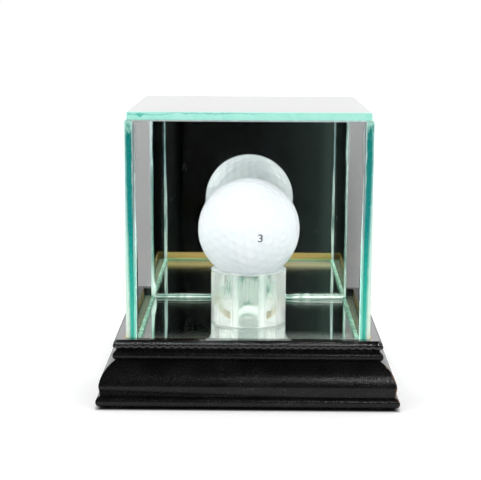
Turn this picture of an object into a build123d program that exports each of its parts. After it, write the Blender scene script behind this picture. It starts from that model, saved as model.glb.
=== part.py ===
from build123d import *
import os
from math import ceil, sqrt

# A golf ball display case. A lift-off cover of glued glass panes, with a mirror at the back,
# stands on the mirror floor of a moulded black wood base. Inside, a clear tube carries one ball.
# Millimetres, +Z up. The origin is on the table, below the middle of the base.
# The photographed front faces -Y.

# ------------------------------------------------------------------ driving sizes
# Glass cover
cover_width = 95.25         # over the left and right panes
cover_depth = 95.25         # over the front pane and the back mirror
cover_height = 91.6         # from the foot of the walls to the face of the top pane
glass_thickness = 3.175     # every pane and both mirrors
arris = 0.25                # the ground edge of a pane
top_inset = 0.9             # the top pane stops this far short of each side pane's face
seam_gap = 0.3              # adhesive between one pane and the next
seam_fillet = 1.2           # leg of the bead of adhesive in each inside corner
seam_end_gap = 0.6          # the corner beads stop this far above the floor mirror

# Wood base
moulding_width = 10.6       # from the rim's inner face to the outermost curve
moulding_height = 25.2
cover_clearance = 0.5       # between the cover and the rim, on each side
shelf_width = 8.0           # the shelf inside the mouldings, which carries the floor board
board_thickness = 6.0
tape_thickness = 0.5
floor_recess = 3.5          # from the ledge down to the floor mirror's face
floor_clearance = 0.25      # round the floor board and the floor mirror

# Profile of a moulding, from the rim's inner face outward and from its underside upward
ledge_width = 3.1
bead_radius = 2.1
bead_drop = 0.1             # the carved beads' crowns are this far below the ledge
bead_overlap = 0.2          # how far the carved row and the plain bead below it run together
bead_crown = 4.4            # the crowns' distance from the rim's inner face
bead_pitch = 3.125          # from one carved bead to the next
bead_cut = 0.6              # depth of the valley between two carved beads
ovolo_overlap = 0.3         # how far the ovolo's top runs into the plain bead
ovolo_crown = 9.5
ovolo_crown_height = 8.1
ovolo_fullness = 1.3        # how far its arc stands out from the straight line between its ends
foot_bead_height = 4.2      # the lowest bead
foot_bead_waist = 8.95
foot_bead_toe = 9.2

# Fastenings and feet
nail_leg = 5.0              # V-nails across the mitres, pressed in from below
nail_thickness = 0.6
nail_height = 8.0
nail_place = 4.5            # from the rim's inner face out to the point of the V
nail_fit = 0.03
screw_spacing = 56.0        # between the two screws of a moulding
screw_diameter = 2.9
screw_head_diameter = 5.2
screw_head_height = 1.7
screw_bite = 4.2            # how far a screw goes into the board
screw_tip = 1.6
screw_slot = (3.2, 0.8, 0.7)
screw_fit = 0.03            # round the thread in the board
screw_clearance = 0.15      # round the shank in the moulding
head_clearance = 0.3
counterbore_depth = 5.0
foot_diameter = 9.5
foot_height = 1.0
foot_place = 2.4            # from the rim's inner face out to a foot's middle
tape_width = 12.0
tape_length = 76.0
tape_spacing = 52.0

# Tube stand and ball
stand_diameter = 31.75
stand_bore = 25.4
stand_height = 22.225
stand_edge = 0.3            # broken edges of the tube, at most a third of its wall
ball_diameter = 42.67
ball_cover_thickness = 1.8
core_fit = 0.1              # between the ball's core and its cover
ball_seat_gap = 0.05        # between the ball and the edge that it rests on

cut_margin = 1.0            # how far cutting shapes run past what they cut

# ------------------------------------------------------------------ sizes that follow
base_bottom = foot_height
ledge_top = base_bottom + moulding_height
floor_top = ledge_top - floor_recess
mirror_bottom = floor_top - glass_thickness
board_top = mirror_bottom - tape_thickness
shelf_top = board_top - board_thickness
opening_width = cover_width + 2 * cover_clearance
opening_depth = cover_depth + 2 * cover_clearance
cover_top = floor_top + cover_height
top_pane_bottom = cover_top - glass_thickness
wall_top = top_pane_bottom - seam_gap
inner_half_width = cover_width / 2 - glass_thickness
inner_half_depth = cover_depth / 2 - glass_thickness
ball_radius = ball_diameter / 2
edge_cut = min(stand_edge, (stand_diameter - stand_bore) / 6)
seat_radius = stand_bore / 2 + edge_cut
ball_centre_z = floor_top + stand_height + sqrt(ball_radius**2 - seat_radius**2) + ball_seat_gap
core_radius = ball_radius - ball_cover_thickness - core_fit
corners = [(-1, -1), (1, -1), (1, 1), (-1, 1)]


def block(x_from, x_to, y_from, y_to, z_from, z_to):
    """A box between two corners."""
    size = (x_to - x_from, y_to - y_from, z_to - z_from)
    middle = ((x_from + x_to) / 2, (y_from + y_to) / 2, (z_from + z_to) / 2)
    return Pos(*middle) * Box(*size)


def rod(x, y, z_from, z_to, diameter):
    """An upright cylinder."""
    return Pos(x, y, (z_from + z_to) / 2) * Cylinder(diameter / 2, z_to - z_from)


def ground(pane):
    """A pane with its edges ground."""
    return chamfer(pane.edges(), arris)


# ------------------------------------------------------------------ wood base
def v_nail(side_x, side_y, grow=0.0):
    """An L of thin steel, its point outward on the mitre, with one leg in each moulding."""
    point_x = opening_width / 2 + nail_place
    point_y = opening_depth / 2 + nail_place
    half = nail_thickness / 2 + grow
    leg = nail_leg + grow
    top = base_bottom + nail_height + grow
    along_x = block(point_x - leg, point_x + half, point_y - half, point_y + half, base_bottom, top)
    along_y = block(point_x - half, point_x + half, point_y - leg, point_y + half, base_bottom, top)
    nail = along_x + along_y
    if side_x < 0:
        nail = nail.mirror(Plane.YZ)
    if side_y < 0:
        nail = nail.mirror(Plane.XZ)
    return nail


def moulding(opening_length, opening_across):
    """One mitred moulding, in the front's place: it runs along X, with its outside to -Y."""
    def at(out, up, along=0.0):
        return (along, -(opening_across / 2 + out), base_bottom + up)

    shelf_height = shelf_top - base_bottom
    carved_height = moulding_height - bead_drop - bead_radius
    plain_height = carved_height - 2 * bead_radius + bead_overlap
    bead_axis = bead_crown - bead_radius
    plain_top = plain_height + sqrt(bead_radius**2 - (ledge_width - bead_axis)**2)
    below_bead = bead_radius - ovolo_overlap
    ovolo_top_height = plain_height - below_bead
    ovolo_top = bead_axis + sqrt(bead_radius**2 - below_bead**2)
    across = ovolo_crown - ovolo_top
    down = ovolo_top_height - ovolo_crown_height
    chord = sqrt(across**2 + down**2)
    ovolo_middle = ((ovolo_top + ovolo_crown) / 2 + ovolo_fullness * down / chord,
                    (ovolo_top_height + ovolo_crown_height) / 2 + ovolo_fullness * across / chord)
    outline = [
        Line(at(-shelf_width, 0), at(-shelf_width, shelf_height)),
        Line(at(-shelf_width, shelf_height), at(0, shelf_height)),
        Line(at(0, shelf_height), at(0, moulding_height)),
        Line(at(0, moulding_height), at(ledge_width, moulding_height)),
        Line(at(ledge_width, moulding_height), at(ledge_width, plain_top)),
        ThreePointArc(at(ledge_width, plain_top), at(bead_crown, plain_height),
                      at(ovolo_top, ovolo_top_height)),
        ThreePointArc(at(ovolo_top, ovolo_top_height), at(*ovolo_middle),
                      at(ovolo_crown, ovolo_crown_height)),
        Line(at(ovolo_crown, ovolo_crown_height), at(foot_bead_waist, foot_bead_height)),
        ThreePointArc(at(foot_bead_waist, foot_bead_height), at(moulding_width, foot_bead_height / 2),
                      at(foot_bead_toe, 0)),
        Line(at(foot_bead_toe, 0), at(-shelf_width, 0)),
    ]
    reach = opening_length / 2 + moulding_width + cut_margin
    body = extrude(make_face(outline), reach, dir=(1, 0, 0), both=True)

    # The carved row is a string of short barrels, turned about one axis and sunk in the ledge's edge.
    beads_each_way = ceil(reach / bead_pitch)
    half_string = (beads_each_way + 0.5) * bead_pitch
    valley = bead_axis + bead_radius - bead_cut
    string = [Line(at(bead_axis, carved_height, -half_string), at(valley, carved_height, -half_string))]
    for number in range(-beads_each_way, beads_each_way + 1):
        middle = number * bead_pitch
        string.append(ThreePointArc(at(valley, carved_height, middle - bead_pitch / 2),
                                    at(bead_crown, carved_height, middle),
                                    at(valley, carved_height, middle + bead_pitch / 2)))
    string.append(Line(at(valley, carved_height, half_string), at(bead_axis, carved_height, half_string)))
    string.append(Line(at(bead_axis, carved_height, half_string), at(bead_axis, carved_height, -half_string)))
    body += revolve(make_face(string), Axis(at(bead_axis, carved_height), (1, 0, 0)))

    # The mitres run at 45 degrees through the corners of the opening.
    inside = shelf_width + cut_margin
    outside = moulding_width + cut_margin
    narrow = opening_length / 2 - inside
    wide = opening_length / 2 + outside
    near = -(opening_across / 2 - inside)
    far = -(opening_across / 2 + outside)
    between_mitres = make_face(Polyline((-narrow, near), (narrow, near), (wide, far), (-wide, far), close=True))
    body &= extrude(between_mitres, ledge_top + cut_margin)

    for x in (-screw_spacing / 2, screw_spacing / 2):
        y = -(opening_across / 2 - shelf_width / 2)
        body -= rod(x, y, base_bottom, shelf_top, screw_diameter + 2 * screw_clearance)
        body -= rod(x, y, base_bottom, base_bottom + counterbore_depth, screw_head_diameter + 2 * head_clearance)
    return body


def mouldings():
    """The four mouldings by name, with the V-nails' slots cut."""
    across = moulding(opening_width, opening_depth)
    along = moulding(opening_depth, opening_width)
    placed = {
        "moulding_front": across,
        "moulding_right": Rot(0, 0, 90) * along,
        "moulding_back": Rot(0, 0, 180) * across,
        "moulding_left": Rot(0, 0, 270) * along,
    }
    for name, body in placed.items():
        for side_x, side_y in corners:
            body = body - v_nail(side_x, side_y, nail_fit)
        placed[name] = body
    return placed


def screw_places():
    """Where the eight screws stand, two to a moulding."""
    half_x = opening_width / 2 - shelf_width / 2
    half_y = opening_depth / 2 - shelf_width / 2
    places = []
    for step in (-screw_spacing / 2, screw_spacing / 2):
        places += [(step, -half_y), (step, half_y), (-half_x, step), (half_x, step)]
    return places


def board_screw(x, y):
    """A pan-head wood screw, driven up through the shelf into the floor board."""
    seat = base_bottom + counterbore_depth
    end = shelf_top + screw_bite
    head = rod(x, y, seat - screw_head_height, seat, screw_head_diameter)
    head = fillet(head.edges().group_by(Axis.Z)[0], screw_head_height / 3)
    shank = rod(x, y, seat, end - screw_tip, screw_diameter)
    tip = Pos(x, y, end - screw_tip / 2) * Cone(screw_diameter / 2, screw_diameter / 8, screw_tip)
    length, width, depth = screw_slot
    slot_top = seat - screw_head_height + depth
    slot = block(x - length / 2, x + length / 2, y - width / 2, y + width / 2, base_bottom, slot_top)
    cross = block(x - width / 2, x + width / 2, y - length / 2, y + length / 2, base_bottom, slot_top)
    return head + shank + tip - slot - cross


def floor_slab(z_from, z_to):
    """A slab that fills the rim of the base."""
    half_x = opening_width / 2 - floor_clearance
    half_y = opening_depth / 2 - floor_clearance
    return block(-half_x, half_x, -half_y, half_y, z_from, z_to)


def floor_board():
    board = floor_slab(shelf_top, board_top)
    for x, y in screw_places():
        board -= rod(x, y, shelf_top, shelf_top + screw_bite + screw_fit, screw_diameter + 2 * screw_fit)
    return board


def mirror_tape():
    """Two strips of double-sided tape that hold the floor mirror down."""
    strips = []
    for side in (-1, 1):
        middle = side * tape_spacing / 2
        strips.append(block(middle - tape_width / 2, middle + tape_width / 2,
                            -tape_length / 2, tape_length / 2, board_top, mirror_bottom))
    return Compound(strips)


def foot(side_x, side_y):
    x = side_x * (opening_width / 2 + foot_place)
    y = side_y * (opening_depth / 2 + foot_place)
    return rod(x, y, 0, foot_height, foot_diameter)


# ------------------------------------------------------------------ glass cover
def side_pane(side):
    outer = side * cover_width / 2
    inner = side * inner_half_width
    return ground(block(min(outer, inner), max(outer, inner), -cover_depth / 2, cover_depth / 2,
                        floor_top, wall_top))


def end_pane(side):
    """The front pane or the back mirror, which stands between the side panes."""
    outer = side * cover_depth / 2
    inner = side * inner_half_depth
    half = inner_half_width - seam_gap
    return ground(block(-half, half, min(outer, inner), max(outer, inner), floor_top, wall_top))


def top_pane():
    half_width = cover_width / 2 - top_inset
    return ground(block(-half_width, half_width, -cover_depth / 2, cover_depth / 2, top_pane_bottom, cover_top))


def corner_seam(side_x, side_y):
    """Adhesive in an upright corner: a film between the panes and a bead inside them."""
    wall = inner_half_width
    outer = cover_depth / 2
    inner = inner_half_depth
    film = wall - seam_gap
    section = Polyline((side_x * wall, side_y * outer), (side_x * film, side_y * outer),
                       (side_x * film, side_y * inner), (side_x * (film - seam_fillet), side_y * inner),
                       (side_x * wall, side_y * (inner - seam_gap - seam_fillet)), close=True)
    foot_of_seam = floor_top + seam_end_gap
    head_of_seam = wall_top - seam_gap - seam_fillet
    return Pos(0, 0, foot_of_seam) * extrude(make_face(section), head_of_seam - foot_of_seam)


def top_seam():
    """Adhesive under the top pane: a film on the walls' tops and a bead round their inside."""
    half_width = cover_width / 2 - top_inset
    film = block(-half_width, half_width, -cover_depth / 2, cover_depth / 2, wall_top, top_pane_bottom)
    bead_x = inner_half_width - seam_gap
    bead_y = inner_half_depth
    bead = block(-bead_x, bead_x, -bead_y, bead_y, wall_top - seam_fillet, wall_top)
    room = Pos(0, 0, wall_top - seam_fillet) * Rectangle(2 * bead_x, 2 * bead_y)
    hollow = extrude(room.face(), seam_fillet + seam_gap, taper=45)
    return film + bead - hollow


# ------------------------------------------------------------------ stand and ball
def ball_stand():
    tube = rod(0, 0, floor_top, floor_top + stand_height, stand_diameter)
    tube -= rod(0, 0, floor_top, floor_top + stand_height, stand_bore)
    return chamfer(tube.edges().filter_by(GeomType.CIRCLE), edge_cut)


def ball_cover():
    return Pos(0, 0, ball_centre_z) * (Sphere(ball_radius) - Sphere(ball_radius - ball_cover_thickness))


def ball_core():
    return Pos(0, 0, ball_centre_z) * Sphere(core_radius)


# ------------------------------------------------------------------ every piece by name
pieces = dict(mouldings())
pieces["corner_v_nails"] = Compound([v_nail(x, y) for x, y in corners])
pieces["floor_board"] = floor_board()
pieces["board_screws"] = Compound([board_screw(x, y) for x, y in screw_places()])
pieces["mirror_tape"] = mirror_tape()
pieces["floor_mirror"] = ground(floor_slab(mirror_bottom, floor_top))
corner_names = dict(zip(corners, ("front_left", "front_right", "back_right", "back_left")))
for (side_x, side_y), place in corner_names.items():
    pieces["foot_" + place] = foot(side_x, side_y)
    pieces["seam_" + place] = corner_seam(side_x, side_y)
pieces["seam_top"] = top_seam()
pieces["left_pane"] = side_pane(-1)
pieces["right_pane"] = side_pane(1)
pieces["front_pane"] = end_pane(-1)
pieces["back_mirror"] = end_pane(1)
pieces["top_pane"] = top_pane()
pieces["ball_stand"] = ball_stand()
pieces["ball_cover"] = ball_cover()
pieces["ball_core"] = ball_core()

os.makedirs("parts", exist_ok=True)
for name, shape in pieces.items():
    export_step(shape, f"parts/{name}.step")
    print(name, len(shape.solids()), round(shape.volume, 2))
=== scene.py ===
import math

import bmesh
import bpy
from mathutils import Matrix, Vector, noise


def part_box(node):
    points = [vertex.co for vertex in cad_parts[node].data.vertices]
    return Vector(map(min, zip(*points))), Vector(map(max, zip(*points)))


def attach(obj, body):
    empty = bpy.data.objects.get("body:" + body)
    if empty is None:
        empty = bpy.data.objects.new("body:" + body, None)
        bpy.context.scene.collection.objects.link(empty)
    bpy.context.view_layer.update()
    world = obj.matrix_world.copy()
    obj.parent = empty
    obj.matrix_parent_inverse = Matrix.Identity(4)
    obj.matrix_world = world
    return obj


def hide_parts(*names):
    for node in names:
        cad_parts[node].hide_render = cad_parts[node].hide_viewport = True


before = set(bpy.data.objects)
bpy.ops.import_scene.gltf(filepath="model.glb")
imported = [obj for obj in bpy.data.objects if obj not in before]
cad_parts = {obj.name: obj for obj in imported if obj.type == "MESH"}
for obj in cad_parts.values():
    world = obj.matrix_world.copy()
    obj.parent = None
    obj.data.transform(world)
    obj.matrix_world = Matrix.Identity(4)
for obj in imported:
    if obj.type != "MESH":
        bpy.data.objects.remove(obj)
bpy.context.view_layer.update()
scene = bpy.context.scene
MM = 0.001

# Places that the CAD gives, in metres: heights, and distances from the middle.
BASE_REACH = 0.0583         # just outside the foot of the base
WALL_INSIDE = 0.04445
WALL_OUTSIDE = 0.047625
WALL_TOP = 0.110825
FLOOR_TOP = 0.0227          # the top of the floor mirror, where the walls stand
GLASS_TOP = 0.1108          # about where the walls end, for colours that change with height
UNDER_LEDGE = 26.15 * MM    # just under the top of the ledge round the base
OVER_FOOT = 1.01 * MM       # just over the underside of the mouldings
RIM_FACE = 48.2 * MM        # just outside the rim's inner face

# The camera: its focal length in pixels of a picture this wide, and the sensor's width in millimetres.
FOCAL_PX = 1331.636
PICTURE_PX = 481
SENSOR = 36


def held(value, low=0.0, high=1.0):
    """value, kept between low and high."""
    return max(low, min(high, value))


# The tools of the bench: picking pieces and using operators and modifiers on them.

def put_down():
    if bpy.context.object and bpy.context.object.mode != "OBJECT":
        bpy.ops.object.mode_set(mode="OBJECT")
    bpy.ops.object.select_all(action="DESELECT")


def pick_up(piece):
    put_down()
    piece.select_set(True)
    bpy.context.view_layer.objects.active = piece


def open_mesh(piece, kind="FACE"):
    pick_up(piece)
    bpy.ops.object.mode_set(mode="EDIT")
    bpy.ops.mesh.select_mode(type=kind)
    bpy.ops.mesh.select_all(action="DESELECT")


def take_all():
    """In edit mode, selects the whole mesh."""
    bpy.ops.mesh.select_all(action="SELECT")


def choose(piece, faces=None, edges=None):
    """In edit mode, selects the faces that pass a test on their middle and normal, or the edges that pass
    a test on their middle and run."""
    mesh = bmesh.from_edit_mesh(piece.data)
    if faces:
        for f in mesh.faces:
            f.select_set(bool(faces(f.calc_center_median(), f.normal)))
    if edges:
        for e in mesh.edges:
            a, b = e.verts[0].co, e.verts[1].co
            e.select_set(bool(edges((a + b) / 2, b - a)))
    mesh.select_flush_mode()
    bmesh.update_edit_mesh(piece.data)


def slice_up(axis, start, end, count):
    """Cuts the open mesh across one axis into count equal lengths."""
    across = Vector([1.0 if k == axis else 0.0 for k in range(3)])
    for k in range(1, count):
        take_all()
        bpy.ops.mesh.bisect(plane_co=across * (start + (end - start) * k / count), plane_no=across)


def work_with(piece, kind, **settings):
    """Puts a modifier on the piece and applies it."""
    pick_up(piece)
    tool = piece.modifiers.new(kind.title(), kind)
    for name, value in settings.items():
        setattr(tool, name, value)
    bpy.ops.object.modifier_apply(modifier=tool.name)


def settle(piece, angle=None):
    """Moves the piece's place into its mesh, and shades it smooth up to an angle."""
    pick_up(piece)
    bpy.ops.object.transform_apply(location=True, rotation=True, scale=True)
    if angle is None:
        bpy.ops.object.shade_smooth()
    else:
        bpy.ops.object.shade_smooth_by_angle(angle=math.radians(angle))
    put_down()


def dress(piece, finish, body=None, slot=None, stands_for=()):
    """Gives the piece its finish and its body, and hides the CAD nodes it stands for. slot is not used."""
    piece.data.materials.clear()
    piece.data.materials.append(finish)
    if body:
        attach(piece, body)
    if stands_for:
        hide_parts(*stands_for)


def repaint(node, finish):
    """A better finish on a CAD node that stays."""
    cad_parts[node].data.materials[0] = finish


def copy_of(node, name):
    """A welded copy of a CAD node's mesh, to be worked on."""
    piece = bpy.data.objects.new(name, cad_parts[node].data.copy())
    scene.collection.objects.link(piece)
    open_mesh(piece, "VERT")
    take_all()
    bpy.ops.mesh.remove_doubles(threshold=0.000002)
    put_down()
    return piece


class Finish:
    """A finish, made up one shader node at a time."""

    def __init__(self, name):
        self.material = bpy.data.materials.new(name)
        self.material.use_nodes = True
        self.tree = self.material.node_tree
        self.tree.nodes.clear()
        self.place = self.add("TexCoord").outputs["Object"]

    def add(self, kind, sockets=None, **settings):
        node = self.tree.nodes.new("ShaderNode" + kind)
        for name, value in settings.items():
            setattr(node, name, value)
        for key, value in (sockets or {}).items():
            if isinstance(value, bpy.types.NodeSocket):
                self.tree.links.new(value, node.inputs[key])
            else:
                node.inputs[key].default_value = value
        return node

    def maths(self, operation, a, b=0.0, clamp=False):
        return self.add("Math", {0: a, 1: b}, operation=operation, use_clamp=clamp).outputs[0]

    def times(self, a, b, clamp=False):
        return self.maths("MULTIPLY", a, b, clamp)

    def axes(self, vector):
        return self.add("SeparateXYZ", {0: vector}).outputs

    def grain(self, size, detail=2.0, roughness=0.5, stretch=(1, 1, 1), warp=0.0, shift=(0, 0, 0)):
        """Noise whose spots are about size metres across."""
        where = self.add("Mapping", {"Vector": self.place, "Scale": stretch, "Location": shift}).outputs[0]
        return self.add("TexNoise", {"Vector": where, "Scale": 1 / size, "Detail": detail,
                                     "Roughness": roughness, "Distortion": warp}).outputs[0]

    def between(self, value, low, high, out_low=0.0, out_high=1.0, smooth=True):
        """value from low..high to out_low..out_high, held at the ends."""
        return self.add("MapRange", {"Value": value, "From Min": low, "From Max": high,
                                     "To Min": out_low, "To Max": out_high},
                        interpolation_type="SMOOTHSTEP" if smooth else "LINEAR").outputs[0]

    def uneven(self, spots, least, most):
        """From least to most, by the spots of a grain."""
        return self.between(spots, 0.3, 0.7, least, most)

    def specks(self, scale, low, high):
        """1 on small scattered dots."""
        dots = self.add("TexVoronoi", {"Vector": self.place, "Scale": scale, "Randomness": 1.0})
        return self.between(dots.outputs["Distance"], low, high, 1, 0)

    def shades(self, value, *stops):
        """A colour ramp over stops of (place, (r, g, b))."""
        node = self.add("ValToRGB", {0: value})
        ramp = node.color_ramp
        while len(ramp.elements) < len(stops):
            ramp.elements.new(0.5)
        for element, (place, colour) in zip(ramp.elements, stops):
            element.position = place
            element.color = (*colour, 1)
        return node.outputs[0]

    def blend(self, share, a, b):
        node = self.add("Mix", {0: share}, data_type="RGBA")
        for key, value in ((6, a), (7, b)):
            if isinstance(value, bpy.types.NodeSocket):
                self.tree.links.new(value, node.inputs[key])
            else:
                node.inputs[key].default_value = (*value, 1)
        return node.outputs[2]

    def mottled(self, spots, dull, bright, low=0.3, high=0.7):
        """Two colours, shared out by the spots of a grain."""
        return self.blend(self.between(spots, low, high), dull, bright)

    def bumps(self, height, depth, normal=None):
        sockets = {"Height": height, "Distance": depth, "Strength": 1.0}
        if normal:
            sockets["Normal"] = normal
        return self.add("Bump", sockets).outputs[0]

    def surface(self, **sockets):
        named = {key.replace("_", " "): (*v, 1) if isinstance(v, tuple) and len(v) == 3 else v
                 for key, v in sockets.items()}
        return self.add("BsdfPrincipled", named).outputs[0]

    def mixed(self, share, a, b):
        return self.add("MixShader", {0: share, 1: a, 2: b}).outputs[0]

    def lets_lamps_through(self, shader, tint):
        """Lamps shine through clear pieces, so shadow rays pass them."""
        path = self.add("LightPath").outputs["Is Shadow Ray"]
        return self.mixed(path, shader, self.add("BsdfTransparent", {0: (*tint, 1)}).outputs[0])

    def done(self, shader):
        self.add("OutputMaterial", {"Surface": shader})
        return self.material


# Finishes.

def greys(*stops):
    """Stops of (place, amount) as stops of grey."""
    return [(place, (amount,) * 3) for place, amount in stops]


def squareness(f):
    """How squarely a face looks along x, y and z, either way."""
    normal = f.add("NewGeometry").outputs["Normal"]
    return f.axes(f.add("VectorMath", {0: normal}, operation="ABSOLUTE").outputs[0])


def edge_mask(f, axis):
    """1 on the ground edges of a pane whose faces look along axis."""
    return f.maths("LESS_THAN", squareness(f)[axis], 0.9)


def height_on_glass(f, wobble=0.04):
    """0 at the foot of the glass and 1 at its top, with a little unevenness."""
    z = f.axes(f.place)[2]
    uneven = f.between(f.grain(0.0016, 4, 0.65, (1, 1, 0.35)), 0.3, 0.7, -wobble, wobble, False)
    return f.maths("ADD", f.between(z, FLOOR_TOP, GLASS_TOP, 0, 1, False), uneven)


def teal_core(f, height):
    """The deep colour in the middle of a side pane's edge: teal above, turning aqua towards the foot. The
    change with height, lighter towards the foot, is painted light.
    """
    core = f.shades(height, (0.0, (0.075, 0.56, 0.43)), (0.10, (0.045, 0.50, 0.385)),
                    (0.28, (0.02, 0.43, 0.33)), (0.55, (0.001, 0.25, 0.235)),
                    (0.94, (0.001, 0.20, 0.18)), (0.985, (0.34, 0.66, 0.55)))
    blotch = f.between(f.grain(0.0009, 4, 0.7, (1, 1, 0.45)), 0.56, 0.70, 0, 0.45)
    return f.blend(blotch, core, (0.002, 0.20, 0.17))


def side_edge_colour(f):
    """Ground edge of a side pane: a teal core that fades to both sides, with a pale line inside up high. Its
    colours lighten towards the foot as painted light, and a bright aqua line along the foot is painted light
    too.
    """
    x, _, z = f.axes(f.place)
    mottle = f.grain(0.0016, 4, 0.65, (1, 1, 0.35))
    height = height_on_glass(f)
    # Painted light: the pale colour is lighter towards the foot.
    pale = f.shades(height, (0.0, (0.84, 0.92, 0.80)), (0.3, (0.62, 0.88, 0.76)), (1.0, (0.42, 0.80, 0.72)))
    across = f.between(f.maths("ABSOLUTE", x), WALL_INSIDE, WALL_OUTSIDE, 0, 1, False)
    across = f.maths("ADD", across, f.between(mottle, 0.3, 0.7, -0.07, 0.07, False))
    outside = f.between(f.maths("SUBTRACT", across, f.between(height, 0.05, 0.95, -0.26, 0.10)), 0.58, 1.0)
    inside = f.times(f.between(across, 0.03, 0.20, 1, 0), f.between(height, 0.50, 0.80))
    colour = f.blend(outside, teal_core(f, height), pale)
    colour = f.blend(inside, colour, (0.50, 0.66, 0.62))
    # Painted light: a bright aqua line where the edge meets the floor.
    foot = f.between(z, 0.02272, 0.0230, 1, 0)
    colour = f.blend(foot, colour, (0.42, 0.93, 0.72))
    under = f.maths("LESS_THAN", f.axes(f.add("NewGeometry").outputs["Normal"])[2], -0.9)
    return f.blend(under, colour, (0.74, 0.78, 0.58))


def straight_through(f):
    """1 on rays that aren't bent into a pane: they have passed an even number of glass faces."""
    passed = f.add("LightPath").outputs["Transmission Depth"]
    return f.maths("LESS_THAN", f.maths("MODULO", passed, 2.0), 0.5)


def painted_slant_shade(f, painted_shade_tones):
    """Painted shade: how clear a side pane is at a steep slant, as a plain grey in place of what it reflects
    and lets through, low down at the back and the front, and high up at the back and the front. The light
    passes two faces, so each gives its square root."""
    _, y, z = f.axes(f.place)
    low_back, low_front, high_back, high_front = (tone ** 0.5 for tone in painted_shade_tones)

    def front_to_back(front, back):
        return f.between(y, -0.044, 0.044, front, back, False)

    up = f.between(z, 0.060, 0.100, 0, 1, False)
    low = f.times(front_to_back(low_front, low_back), f.maths("SUBTRACT", 1.0, up))
    high = f.times(front_to_back(high_front, high_back), up)
    return f.add("BsdfTransparent", {0: f.maths("ADD", low, high)}).outputs[0]


def at_a_slant(f):
    """1 where a side pane is seen at a steep slant by straight_through rays: where its painted shade shows.
    """
    facing = f.add("LayerWeight", {"Blend": 0.5}).outputs["Facing"]
    z = f.axes(f.place)[2]
    share = f.times(f.between(facing, 0.84, 0.90), f.between(z, 0.07, 0.10, 0.95, 0.7, False))
    return f.times(share, straight_through(f))


def pane_finish(name, axis, tint, edge, grime, slant_dust=0.0, head_on=1.0, painted_shade_tones=None, painted_foot_glow=0.0):
    """Clear glass with ground edges, a few faint streaks, and dust that shows most at a slant.
    axis is the one its faces look along, edge makes the edges' colour, grime is the strength of its streaks,
    slant_dust is its dust at a slant, head_on is its shine seen head-on, the tones are a side pane's painted
    shade at a slant, and the foot glow is a painted glow of the edges where they meet the floor."""
    f = Finish(name)
    slant = 0.0
    if slant_dust:
        slant = f.between(f.add("LayerWeight", {"Blend": 0.5}).outputs["Facing"], 0.86, 0.95, 0, slant_dust)
    dust = f.specks(330.0, 0.05, 0.09)
    seldom = f.between(f.grain(0.012, 1), 0.56, 0.66)
    streaks = f.between(f.grain(0.004, 3, 0.6, (1, 1, 0.06)), 0.5, 0.85)
    veil = f.maths("ADD", f.times(f.times(dust, seldom), 25 * grime),
                   f.maths("MAXIMUM", f.times(streaks, grime), slant), True)
    clear = f.surface(Base_Color=tint, Roughness=0.0, IOR=1.52, Transmission_Weight=1.0,
                      Specular_Tint=(head_on, head_on, head_on))
    dusty = f.surface(Base_Color=(0.94, 0.95, 0.94), Roughness=0.8)
    colour = edge(f)
    # Painted glow: the ground edges glow faintly where they meet the floor.
    low_down = f.between(f.axes(f.place)[2], 0.0228, 0.0232, painted_foot_glow, 0.0)
    rim = f.surface(Base_Color=colour, Roughness=f.uneven(f.grain(0.0008), 0.18, 0.42),
                    Normal=f.bumps(f.grain(0.0009, 3, 0.6), 0.00008), IOR=1.5, Specular_IOR_Level=0.25,
                    Emission_Color=colour, Emission_Strength=low_down)
    seen = f.mixed(veil, clear, dusty)
    # Side panes: at a steep slant, and seen from inside at the rim, a painted shade of plain grey takes the
    # glass's place.
    if painted_shade_tones:
        grey = painted_slant_shade(f, painted_shade_tones)
        seen = f.mixed(at_a_slant(f), seen, grey)
        from_inside = f.times(f.add("NewGeometry").outputs["Backfacing"], straight_through(f))
        rim = f.mixed(from_inside, rim, grey)
    seen = f.mixed(edge_mask(f, axis), seen, rim)
    return f.done(f.lets_lamps_through(seen, (0.97, 0.985, 0.98)))


def top_edge_colour(f):
    """Ground edge of the top pane: pale aqua, with a lighter arris and a thin wavy chip line."""
    x, _, z = f.axes(f.place)
    colour = f.mottled(f.grain(0.006, 3), (0.35, 0.80, 0.67), (0.41, 0.84, 0.72))
    wave = f.maths("ADD", 0.11345, f.between(f.grain(0.010, 4, 0.7), 0.3, 0.7, -0.00085, 0.00085, False))
    gap = f.maths("ABSOLUTE", f.maths("SUBTRACT", z, wave))
    line = f.times(f.between(gap, 0.00006, 0.00026, 1, 0), f.between(x, -0.004, 0.010, 1, 0))
    colour = f.blend(f.times(line, 0.75), colour, (0.16, 0.50, 0.46))
    drop = f.maths("SUBTRACT", z, 0.1119)
    chip = f.maths("SUBTRACT", f.maths("ABSOLUTE", f.maths("ADD", x, 0.0416)), f.times(drop, 1.3))
    chip = f.times(f.between(chip, -0.0004, 0.0001, 1, 0), f.between(z, 0.11335, 0.1136, 1, 0))
    colour = f.blend(f.times(chip, 0.8), colour, (0.03, 0.45, 0.37))
    return f.blend(f.between(z, 0.11395, 0.1141), colour, (0.66, 0.90, 0.84))


def front_edge_colour(f):
    """Ground edge of the front pane: aqua low down and greyer above, which is painted light, and olive
    underneath.
    """
    low = f.mottled(f.grain(0.004, 3), (0.26, 0.44, 0.20), (0.40, 0.60, 0.32))
    # Painted light: the sides go from bright aqua at the foot to grey higher up.
    side = f.shades(height_on_glass(f), (0.0, (0.24, 0.88, 0.70)), (0.30, (0.28, 0.78, 0.66)),
                    (0.50, (0.52, 0.66, 0.63)), (0.80, (0.40, 0.43, 0.42)))
    return f.blend(f.between(f.axes(f.place)[2], 0.0229, 0.0232), low, side)


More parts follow.
